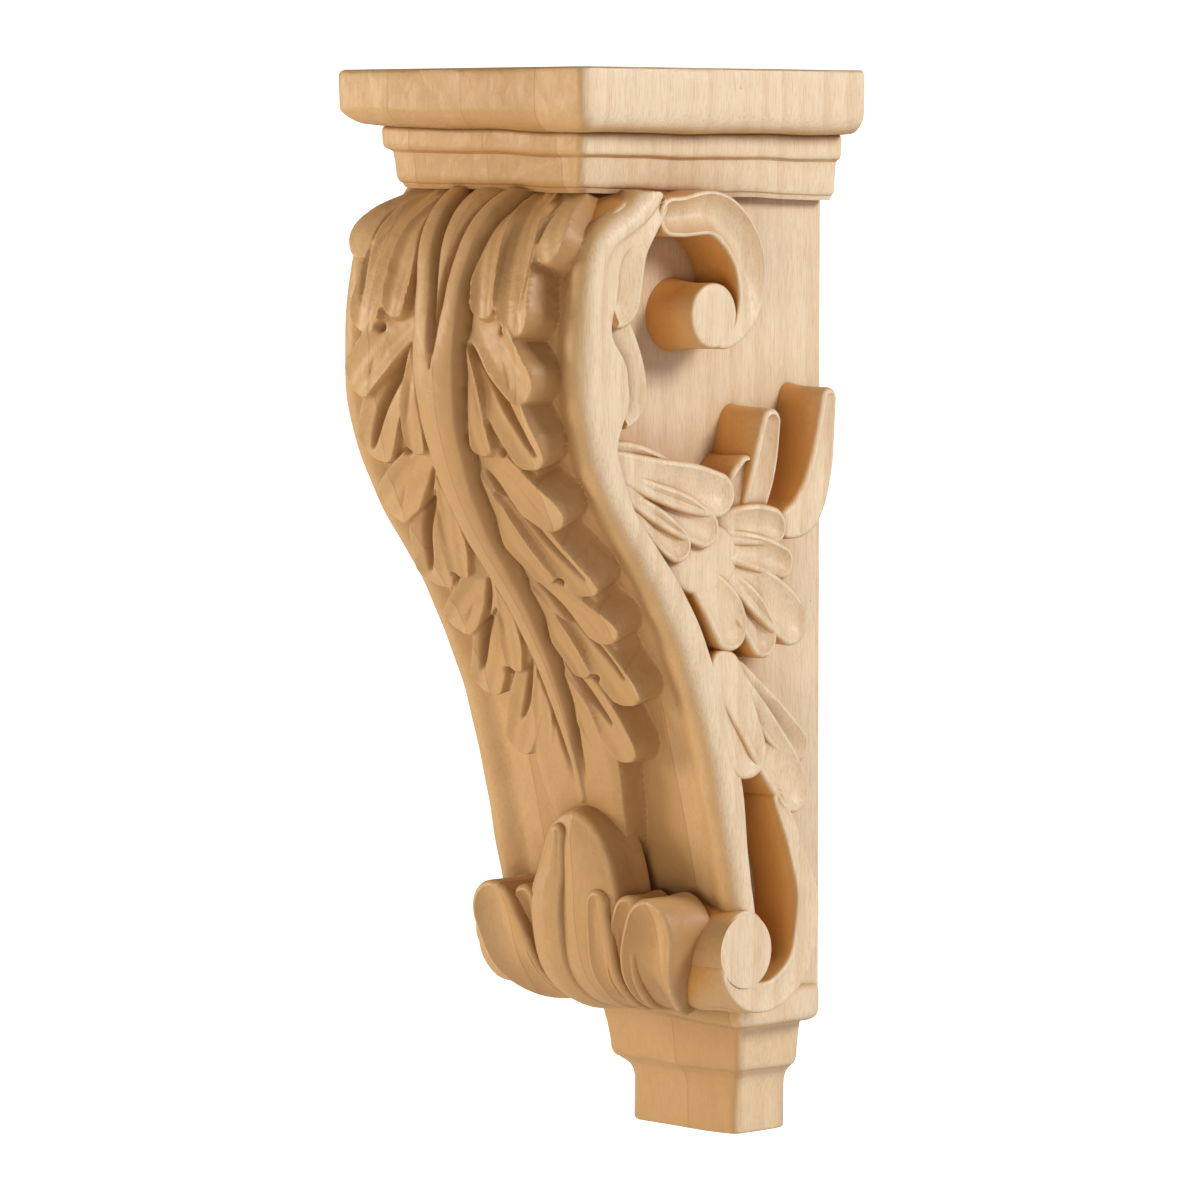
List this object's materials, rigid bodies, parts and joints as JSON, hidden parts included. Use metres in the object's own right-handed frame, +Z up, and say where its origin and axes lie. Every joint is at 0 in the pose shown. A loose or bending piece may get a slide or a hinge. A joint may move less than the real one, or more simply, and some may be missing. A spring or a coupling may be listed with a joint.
{
  "type": "corbel bracket",
  "caption": "Carved hardwood corbel with an acanthus front, side scrolls and a square cap; it is fixed to a wall or cabinet and carries a shelf, mantel or counter edge",
  "frame": {"origin": "the middle of the flat back, on the wall plane, 178 mm above the foot", "axes": "+X across the corbel, +Y into the wall, +Z up; the carved front faces -Y"},
  "size_m": [0.115, 0.1431, 0.356],
  "materials": {
    "wood": "pale laminated hardwood, sanded, with a thin satin lacquer"
  },
  "bodies": {
    "root": {"corbel": "wood"}
  },
  "joints": []
}
